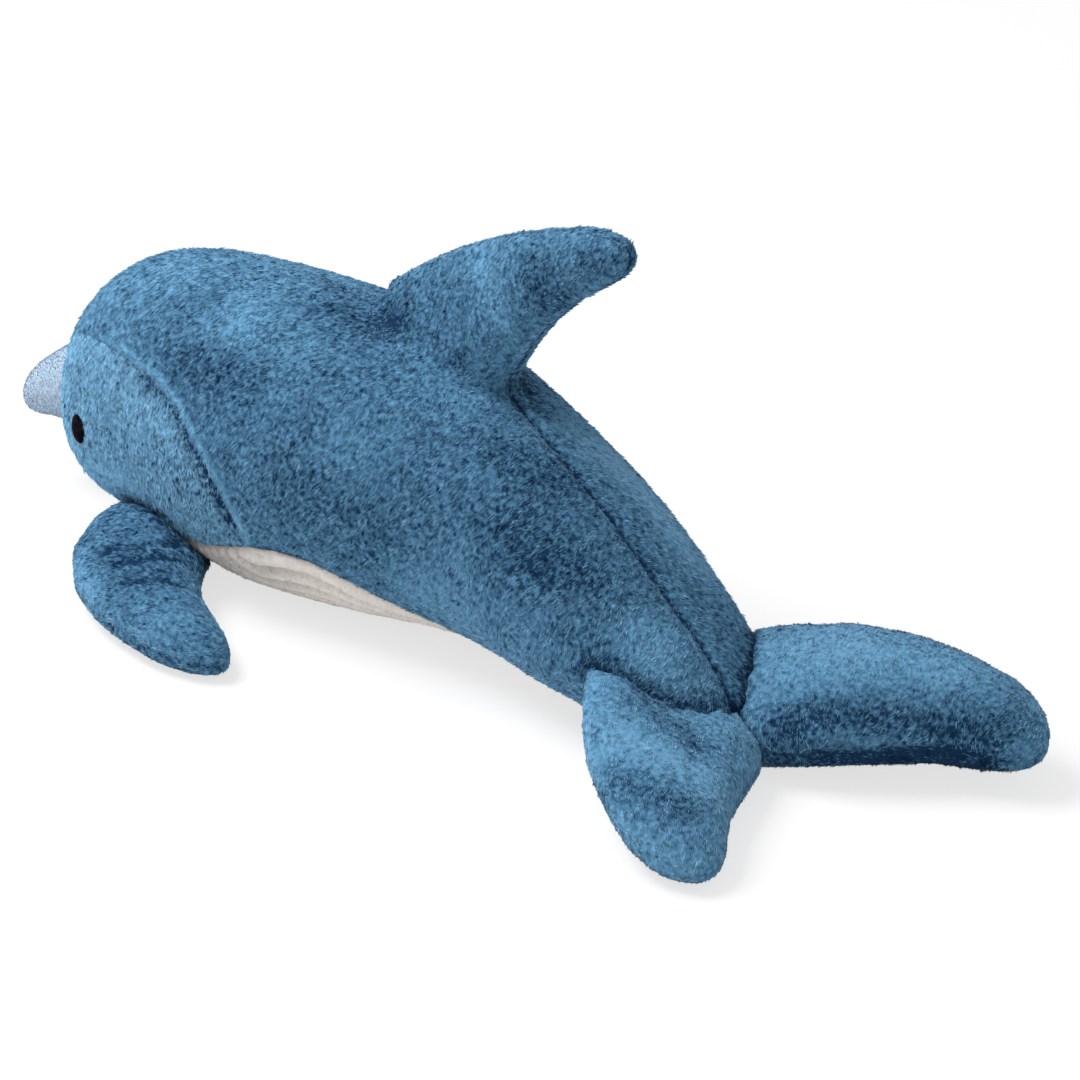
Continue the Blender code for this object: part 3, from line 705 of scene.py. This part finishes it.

# lengthwise wrinkles of the belly, set out from its edge, with painted shade in their troughs
sway = drift(points, 0.045, 2.0)[:, 0]
edge = np.minimum(reach[0], reach[1])
wrinkles = np.sin(math.tau * (edge / bodyPlan["wrinkleStep"] + 1.1 * sway))
onBelly = (panel == 4) * ramp(edge, 0.001, 0.006) * ramp(points[:, 2], 0.002, 0.010)
dip += bodyPlan["wrinkle"] * onBelly * np.maximum(wrinkles, -0.3)
tone -= bodyPlan["wrinkleShade"] * onBelly * np.maximum(wrinkles, 0)
points = points - normals * dip[:, None]
points[:, 2] = np.maximum(points[:, 2], stuffing["floorClear"])
movePoints(mesh, points)
points, normals = pointsOf(mesh), normalsOf(mesh)

lies = np.array(bodyPlan["lies"])[panel]
lies = lies * (1 - onFin[:, None]) + np.array(bodyPlan["finLie"]) * onFin[:, None]
lies = relax(mesh, unit(lies), 6) + lieDrift["amount"] * drift(points, lieDrift["size"], 7.0)
setAttribute(mesh, "lie", tangent(lies, normals))
setAttribute(mesh, "tone", tone)
eyes = np.minimum(eyeShare(points, eyePlaces["left"]), eyeShare(points, eyePlaces["right"]))
offFloor = ramp(points[:, 2], 0.001, 0.004)
setAttribute(mesh, "pileShare", offFloor * (1 - 0.3 * hump(seam, 0.0012)) * ramp(eyes, 0.85, 1.05))
shorter = np.where(panel == 4, 0.6, 1.0) * (0.35 + 0.65 * ramp(snout, 0.002, bodyPlan["beakClear"]))
atSeam = 1 - 0.4 * seamStrength * hump(seam, 0.002)
setAttribute(mesh, "pileLength", shorter * atSeam * (0.6 + 0.4 * ramp(eyes, 1.0, 1.6)))


def labelFaces(mesh, reach):
    # each face takes the panel nearest to its corners; then the borders are evened out
    corners = np.empty(len(mesh.loops), dtype=np.int64)
    mesh.loops.foreach_get("vertex_index", corners)
    labels = reach[:, corners.reshape(-1, 4)].mean(axis=2).argmin(axis=0)
    shape = bmesh.new()
    shape.from_mesh(mesh)
    shape.faces.ensure_lookup_table()
    beside = {}
    for edge in shape.edges:
        if len({labels[face.index] for face in edge.link_faces}) == 2:
            first, last = edge.verts
            beside.setdefault(first, []).append(last)
            beside.setdefault(last, []).append(first)
    for _ in range(stuffing["borderRounds"]):
        fresh = {v: v.co.lerp((near[0].co + near[1].co) / 2, 0.5) for v, near in beside.items() if len(near) == 2}
        for vertex, place in fresh.items():
            vertex.co = place
    shape.to_mesh(mesh)
    shape.free()
    return labels


def panelPiece(name, form, away, slot):
    # the faces of one panel
    mesh = form.data.copy()
    shape = bmesh.new()
    shape.from_mesh(mesh)
    shape.faces.ensure_lookup_table()
    bmesh.ops.delete(shape, geom=[shape.faces[i] for i in np.where(away)[0]], context="FACES")
    shape.to_mesh(mesh)
    shape.free()
    return dressSkin(addObject(name, mesh), slot)


def dressSkin(skin, slot):
    skin.data.shade_smooth()
    skin.data.materials.clear()
    skin.data.materials.append(materials[slot])
    return skin


def declareSoft(piece, stands):
    dropAttributes(piece.data, ("lie", "pile"))
    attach(piece, "root")
    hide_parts(*stands)


labels = labelFaces(mesh, reach)
skinTree = treeOfMesh(mesh)
panelPieces = {
    "backLeft": {"slot": "blue_pile", "stands": ["back_left"]},
    "backRight": {"slot": "blue_pile", "stands": ["back_right"]},
    "cheekLeft": {"slot": "light_blue_pile", "stands": ["cheek_left"]},
    "cheekRight": {"slot": "light_blue_pile", "stands": ["cheek_right"]},
    "bellyPanel": {
        "slot": "cream_pile", "stands": ["belly", "body_filling", "dorsal_fin_filling"],
        "pile": {"Tufts per square metre": 1.65e6},
    },
}
for i, (name, plan) in enumerate(panelPieces.items()):
    piece = panelPiece(name, body, labels != i, plan["slot"])
    sizes = {**pileSizes, **plan.get("pile", {}), "Seed": i + 1}
    growPile(f"{name}Pile", piece, plan["slot"], sizes)
    wall = piece.modifiers.new("wall", "SOLIDIFY")
    wall.thickness = stuffing["wall"]
    wall.offset = -1
    bake(piece)
    declareSoft(piece, plan["stands"])
bpy.data.objects.remove(body)


# flippers and flukes

# each limb's overall tone is painted light: the flukes lighter and the flippers darker by how light falls on them;
# the underside gets painted shade
limbPlans = {
    "flipperLeft": {
        "node": "flipper_left", "lightingTone": -0.04, "lie": (-0.9, -0.5, -0.1), "underShade": -0.08,
        "folds": [
            {"path": [(-0.126, -0.073, 0.023), (-0.115, -0.073, 0.024), (-0.108, -0.060, 0.0245)],
             "width": 0.0026, "depth": -0.0008, "tone": 0.16},
            {"path": [(-0.117, -0.077, 0.0235), (-0.102, -0.057, 0.0225)],
             "width": 0.0028, "depth": 0.0016, "tone": -0.20},
            {"path": [(-0.107, -0.081, 0.0225), (-0.094, -0.063, 0.0215)],
             "width": 0.0024, "depth": 0.0010, "tone": -0.16},
            {"path": [(-0.098, -0.087, 0.0208), (-0.082, -0.075, 0.020)],
             "width": 0.0026, "depth": 0.0013, "tone": -0.20},
        ],
        "marks": [
            ((-0.129, -0.083, 0.017), (-0.110, -0.094, 0.016), 0.006, 0.18),
            ((-0.105, -0.075, 0.023), (-0.095, -0.070, 0.021), 0.009, -0.10),
            ((-0.075, -0.095, 0.015), (-0.060, -0.090, 0.014), 0.010, 0.08),
        ],
    },
    "flipperRight": {
        "node": "flipper_right", "lightingTone": -0.04, "lie": (-0.9, 0.5, -0.1), "underShade": -0.08,
        "folds": [
            {"path": [(-0.113, 0.075, 0.0235), (-0.100, 0.058, 0.0225)],
             "width": 0.0028, "depth": 0.0014, "tone": -0.20},
        ],
        "marks": [((-0.129, 0.083, 0.017), (-0.110, 0.094, 0.016), 0.006, 0.15)],
    },
    "flukeLeft": {
        "node": "fluke_left", "lightingTone": 0.14, "lie": (0.7, -0.9, -0.1), "underShade": -0.08,
        "folds": [
            {"path": [(0.137, -0.050, 0.0275), (0.150, -0.066, 0.0255)],
             "width": 0.005, "depth": 0.0008, "tone": -0.05},
        ],
        "marks": [
            ((0.114, -0.050, 0.031), (0.135, -0.050, 0.028), 0.009, -0.24),
            ((0.124, -0.070, 0.024), (0.147, -0.066, 0.026), 0.010, 0.14),
            ((0.129, -0.085, 0.024), (0.152, -0.078, 0.022), 0.010, -0.24),
            ((0.103, -0.058, 0.026), (0.114, -0.077, 0.015), 0.006, 0.14),
            ((0.160, -0.093, 0.0095), (0.163, -0.090, 0.011), 0.006, 0.12),
        ],
    },
    "flukeRight": {
        "node": "fluke_right", "lightingTone": 0.12, "lie": (0.25, -1.0, -0.1), "underShade": -0.10,
        "folds": [
            {"path": [(0.160, -0.014, 0.0217), (0.193, 0.013, 0.0194)],
             "width": 0.0028, "depth": -0.0007, "tone": 0.14},
            {"path": [(0.160, -0.012, 0.014), (0.182, 0.005, 0.013)],
             "width": 0.0032, "depth": 0.0016, "tone": -0.42},
        ],
        "marks": [
            ((0.1345, 0.012, 0.038), (0.186, 0.034, 0.035), 0.012, 0.14),
            ((0.148, -0.017, 0.0285), (0.208, 0.027, 0.027), 0.009, -0.24),
            ((0.148, -0.014, 0.014), (0.205, 0.022, 0.014), 0.009, -0.52),
        # painted shade along the fluke's lower, underside edge
        ],
    },
}

# the band beside the edge is a painted highlight, the line at the seam painted shade
limbSeam = {
    "groove": 0.0005, "grooveWidth": 0.0022, "seamShade": 0.06, "lineWidth": 0.0014,
    "edgeHighlight": 0.06, "edgePlace": 0.0035, "edgeWidth": 0.0022, "underWidth": 0.006,
}

for i, (name, plan) in enumerate(limbPlans.items()):
    panels = [f"{plan['node']}_top", f"{plan['node']}_underside"]
    form = makeCloth(f"{name}Skin", panels + [f"{plan['node']}_filling"], panels, stuffing["limbInset"])
    trunk = np.min([nodeDistance(panel, pointsOf(form.data)) for panel in bodyPlan["panels"]], axis=0)
    setAttribute(form.data, "trunk", trunk)
    finer(form)
    mesh = form.data
    trunk = getAttribute(mesh, "trunk")
    dropAttributes(mesh, "trunk")
    reach, panel, second, seam = readPanels(mesh, panels)
    points, normals = pointsOf(mesh), normalsOf(mesh)
    dip, tone = pressFolds(mesh, plan["folds"])
    dip += limbSeam["groove"] * hump(seam, limbSeam["grooveWidth"])
    # painted shade on the underside, away from the seam
    tone += brushedPileAndLightMarks(mesh, plan["marks"]) + plan["underShade"] * ramp(seam, 0, limbSeam["underWidth"]) * (panel == 1)
    # painted highlight along the top's edge, beside the seam
    edge = limbSeam["edgeHighlight"] * hump(seam - limbSeam["edgePlace"], limbSeam["edgeWidth"]) * (panel == 0)
    # painted shade in the seam's line; the limb's overall tone is painted light
    tone += edge - limbSeam["seamShade"] * hump(seam, limbSeam["lineWidth"]) + plan["lightingTone"]
    # painted shade where the limb meets the body
    tone += bodyPlan["contactShade"] * hump(trunk, bodyPlan["contactShadeWidth"])
    points = points - normals * dip[:, None]
    points[:, 2] = np.maximum(points[:, 2], stuffing["floorClear"])
    movePoints(mesh, points)
    normals = normalsOf(mesh)
    lies = np.tile(unit(np.array([plan["lie"]]))[0], (len(points), 1))
    lies = lies + lieDrift["amount"] * drift(points, lieDrift["size"], 11.0 + i)
    setAttribute(mesh, "lie", tangent(lies, normals))
    setAttribute(mesh, "tone", tone)
    setAttribute(mesh, "pileShare", ramp(points[:, 2], 0.001, 0.004))
    setAttribute(mesh, "pileLength", 1 - 0.15 * hump(seam, 0.002))
    dressSkin(form, "blue_pile")
    growPile(f"{name}Pile", form, "blue_pile", {**limbPile, "Seed": 11 + i})
    declareSoft(form, panels + [f"{plan['node']}_filling"])


# beak

beakPlan = {
    "voxel": 0.0016,
    "proud": 0.0004,        # how far its nap stands off the solid
    "keep": 0.0022,
    "marks": [((-0.195, -0.010, 0.060), (-0.190, -0.016, 0.050), 0.006, -0.06)],
    "nap": {
        "Tufts per square metre": 4e6, "Length": 0.0010, "Root radius": 0.00022,
        "Upright": 0.6, "Unruly": 0.5, "Clump": 0.8, "Clump scale": 500, "Sink": 0.0001,
        "Fleck": 0.5, "Fleck scale": 600, "Seed": 31,
    },
}
beak = stuffedForm("beakSkin", ["beak", "body_filling"], beakPlan["voxel"], -beakPlan["proud"])
dropPoints(beak.data, nodeDistance("beak", pointsOf(beak.data)) > beakPlan["keep"])
keepLargest(beak.data)
mesh = beak.data
points, normals = pointsOf(mesh), normalsOf(mesh)
setAttribute(mesh, "lie", tangent(np.tile([1.0, 0.0, 0.1], (len(points), 1)), normals))
setAttribute(mesh, "tone", brushedPileAndLightMarks(mesh, beakPlan["marks"]))
setAttribute(mesh, "pileShare", np.ones(len(points)))
setAttribute(mesh, "pileLength", np.ones(len(points)))
dressSkin(beak, "beak_velour")
growPile("beakPile", beak, "beak_velour", beakPlan["nap"])
declareSoft(beak, ["beak"])


# eyes: satin stitches side by side over a low pad

eyePlan = {
    "threads": 13, "threadRadius": 0.00034, "crown": 0.0012, "lift": 0.0001, "fit": 0.96,
    "dark": (0.003, 0.004, 0.008), "brown": (0.022, 0.013, 0.010), "streaks": 260,
    "roughness": 0.7, "gloss": 0.02, "twist": 2500, "bump": 0.4, "bumpDepth": 0.0001,
}


def threadMaterial(name, plan):
    made = bpy.data.materials.new(name)
    made.use_nodes = True
    bench = NodeBench(made.node_tree)
    shader = made.node_tree.nodes["Principled BSDF"]
    streaks = bench.add("ShaderNodeTexNoise")
    streaks.inputs["Scale"].default_value = plan["streaks"]
    bench.join(bench.add("ShaderNodeTexCoord").outputs["Object"], streaks.inputs["Vector"])
    blend = bench.add("ShaderNodeValToRGB")
    bench.join(streaks.outputs["Fac"], blend.inputs["Fac"])
    stops = blend.color_ramp.elements
    stops[0].position, stops[0].color = 0.45, (*plan["dark"], 1)
    stops[1].position, stops[1].color = 0.75, (*plan["brown"], 1)
    bench.join(blend.outputs["Color"], shader.inputs["Base Color"])
    shader.inputs["Roughness"].default_value = plan["roughness"]
    shader.inputs["Specular IOR Level"].default_value = plan["gloss"]
    twist = bench.add("ShaderNodeTexNoise")
    twist.inputs["Scale"].default_value = plan["twist"]
    bench.join(bench.add("ShaderNodeTexCoord").outputs["Object"], twist.inputs["Vector"])
    bump = bench.add("ShaderNodeBump")
    bump.inputs["Strength"].default_value = plan["bump"]
    bump.inputs["Distance"].default_value = plan["bumpDepth"]
    bench.join(twist.outputs["Fac"], bump.inputs["Height"])
    bench.join(bump.outputs["Normal"], shader.inputs["Normal"])
    return made


def stitchTree(name, material):
    # threads laid side by side in an oval, arched over its middle
    tree = bpy.data.node_groups.new(name, "GeometryNodeTree")
    face = tree.interface
    sizes = {}
    for label in ("Half length", "Half width", "Thread radius", "Crown"):
        sizes[label] = face.new_socket(label, in_out="INPUT", socket_type="NodeSocketFloat").identifier
    sizes["Threads"] = face.new_socket("Threads", in_out="INPUT", socket_type="NodeSocketInt").identifier
    face.new_socket("Geometry", in_out="OUTPUT", socket_type="NodeSocketGeometry")
    bench = NodeBench(tree)
    given = bench.add("NodeGroupInput").outputs

    def along(axis, value):
        made = bench.add("ShaderNodeCombineXYZ")
        bench.join(value, made.inputs[axis])
        return made.outputs[0]

    def ovalHeight(*shares):
        left = bench.math("SUBTRACT", 1.0, 0)
        for share in shares:
            left = bench.math("SUBTRACT", left, bench.math("MULTIPLY", share, share))
        return bench.math("SQRT", bench.math("MAXIMUM", left, 0.0))

    def position():
        made = bench.add("ShaderNodeSeparateXYZ")
        bench.join(bench.add("GeometryNodeInputPosition").outputs[0], made.inputs[0])
        return made.outputs

    row = bench.add("GeometryNodeMeshLine", mode="END_POINTS")
    bench.join(given["Threads"], row.inputs["Count"])
    reachOut = bench.math("MULTIPLY", given["Half width"], 0.97)
    bench.join(along("Y", bench.math("MULTIPLY", reachOut, -1)), row.inputs["Start Location"])
    bench.join(along("Y", reachOut), row.inputs["Offset"])
    stitch = bench.add("GeometryNodeCurvePrimitiveLine")
    stitch.inputs["Start"].default_value = (-1, 0, 0)
    stitch.inputs["End"].default_value = (1, 0, 0)
    steps = bench.add("GeometryNodeResampleCurve")
    steps.inputs["Count"].default_value = 15
    bench.join(stitch.outputs[0], steps.inputs["Curve"])
    spot = position()
    acrossShare = bench.math("DIVIDE", spot["Y"], given["Half width"])
    halfStitch = bench.math("MULTIPLY", given["Half length"], ovalHeight(acrossShare))
    stretch = bench.add("ShaderNodeCombineXYZ")
    bench.join(halfStitch, stretch.inputs["X"])
    stretch.inputs["Y"].default_value = 1
    stretch.inputs["Z"].default_value = 1
    lay = bench.add("GeometryNodeInstanceOnPoints")
    bench.join(row.outputs[0], lay.inputs["Points"])
    bench.join(steps.outputs[0], lay.inputs["Instance"])
    bench.join(stretch.outputs[0], lay.inputs["Scale"])
    real = bench.add("GeometryNodeRealizeInstances")
    bench.join(lay.outputs[0], real.inputs[0])
    spot = position()
    alongShare = bench.math("DIVIDE", spot["X"], given["Half length"])
    acrossShare = bench.math("DIVIDE", spot["Y"], given["Half width"])
    height = ovalHeight(alongShare, acrossShare)
    arch = bench.add("GeometryNodeSetPosition")
    bench.join(real.outputs[0], arch.inputs["Geometry"])
    bench.join(along("Z", bench.math("MULTIPLY", height, given["Crown"])), arch.inputs["Offset"])
    ring = bench.add("GeometryNodeCurvePrimitiveCircle")
    ring.inputs["Resolution"].default_value = 6
    bench.join(given["Thread radius"], ring.inputs["Radius"])
    thread = bench.add("GeometryNodeCurveToMesh")
    thread.inputs["Fill Caps"].default_value = True
    bench.join(arch.outputs[0], thread.inputs["Curve"])
    bench.join(ring.outputs[0], thread.inputs["Profile Curve"])
    finishTree(bench, thread.outputs[0], material)
    return tree, sizes


eyeThread = threadMaterial("eye thread", eyePlan)
for side, place in eyePlaces.items():
    tree, sizes = stitchTree(f"eye {side}", eyeThread)
    halfLong, halfAcross = (half * eyePlan["fit"] for half in place["half"])
    name = f"eye{side.capitalize()}"
    eye = runTree(name, bpy.data.meshes.new(name), tree, sizes, {
        "Half length": halfLong, "Half width": halfAcross, "Thread radius": eyePlan["threadRadius"],
        "Crown": eyePlan["crown"], "Threads": eyePlan["threads"],
    })
    flat = pointsOf(eye.data)
    out = Vector(place["out"])
    laid = []
    for x, y, z in flat:
        above = place["middle"] + x * place["long"] + y * place["across"] + 0.02 * place["out"]
        touch = skinTree.ray_cast(Vector(above), -out)[0]
        laid.append(touch + out * (z + eyePlan["lift"]))
    movePoints(eye.data, np.array(laid))
    fix = bmesh.new()
    fix.from_mesh(eye.data)
    bmesh.ops.recalc_face_normals(fix, faces=fix.faces)
    fix.to_mesh(eye.data)
    fix.free()
    eye.data.shade_smooth()
    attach(eye, "root")
    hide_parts(f"eye_{side}")
    print(name, len(eye.data.polygons), "faces")


# floor, light and camera

studio = {"sky": 0.50, "keyPower": 26, "fillPower": 1.5, "paper": 0.88, "paperGlow": 0.7}


def seenRays(bench):
    # 1 for rays from the camera and those seen in gloss or glass
    rays = bench.add("ShaderNodeLightPath").outputs
    seen = bench.math("MAXIMUM", rays["Is Camera Ray"], rays["Is Glossy Ray"])
    return bench.math("MAXIMUM", seen, rays["Is Transmission Ray"])


world = bpy.data.worlds.new("studio")
scene.world = world
world.use_nodes = True
bench = NodeBench(world.node_tree)
sky = world.node_tree.nodes["Background"]
sky.inputs["Color"].default_value = (1, 1, 1, 1)
sky.inputs["Strength"].default_value = studio["sky"]
white = bench.add("ShaderNodeBackground")
white.inputs["Strength"].default_value = 1.0
pick = bench.add("ShaderNodeMixShader")
bench.feed(pick, (seenRays(bench), sky.outputs[0], white.outputs[0]))
bench.join(pick.outputs[0], world.node_tree.nodes["World Output"].inputs["Surface"])

bpy.ops.mesh.primitive_plane_add(size=6, location=(0, 0, 0))
floor = bpy.context.object
floor.name = "floor"
paper = bpy.data.materials.new("white paper")
paper.use_nodes = True
bench = NodeBench(paper.node_tree)
matt = paper.node_tree.nodes["Principled BSDF"]
matt.inputs["Base Color"].default_value = (studio["paper"], studio["paper"], studio["paper"], 1)
matt.inputs["Roughness"].default_value = 0.9
glow = bench.add("ShaderNodeEmission")
pick = bench.add("ShaderNodeMixShader")
share = bench.math("MULTIPLY", seenRays(bench), studio["paperGlow"])
bench.feed(pick, (share, matt.outputs[0], glow.outputs[0]))
bench.join(pick.outputs[0], paper.node_tree.nodes["Material Output"].inputs["Surface"])
floor.data.materials.append(paper)


def softLamp(name, place, size, power):
    data = bpy.data.lights.new(name, "AREA")
    data.size = size
    data.energy = power
    lamp = bpy.data.objects.new(name, data)
    scene.collection.objects.link(lamp)
    lamp.location = place
    lamp.rotation_euler = (Vector((0, 0, 0.05)) - Vector(place)).to_track_quat("-Z", "Y").to_euler()


softLamp("key", (-0.75, -0.30, 1.25), 0.8, studio["keyPower"])
softLamp("fill", (0.9, -1.2, 0.8), 1.2, studio["fillPower"])

view = {
    "azimuth": 39.933, "elevation": 27.919, "distance": 1.3,
    "target": (-0.0278, 0.0659, 0.0), "lens": 111.43, "sensor": 36,
}
camera = bpy.data.objects.new("camera", bpy.data.cameras.new("camera"))
scene.collection.objects.link(camera)
camera.data.sensor_width = view["sensor"]
camera.data.lens = view["lens"]
turn, rise = math.radians(view["azimuth"]), math.radians(view["elevation"])
back = Vector((math.sin(turn) * math.cos(rise), -math.cos(turn) * math.cos(rise), math.sin(rise)))
camera.location = Vector(view["target"]) + back * view["distance"]
camera.rotation_euler = back.to_track_quat("Z", "Y").to_euler()
scene.camera = camera
scene.view_settings.view_transform = "Standard"
print("studio made")
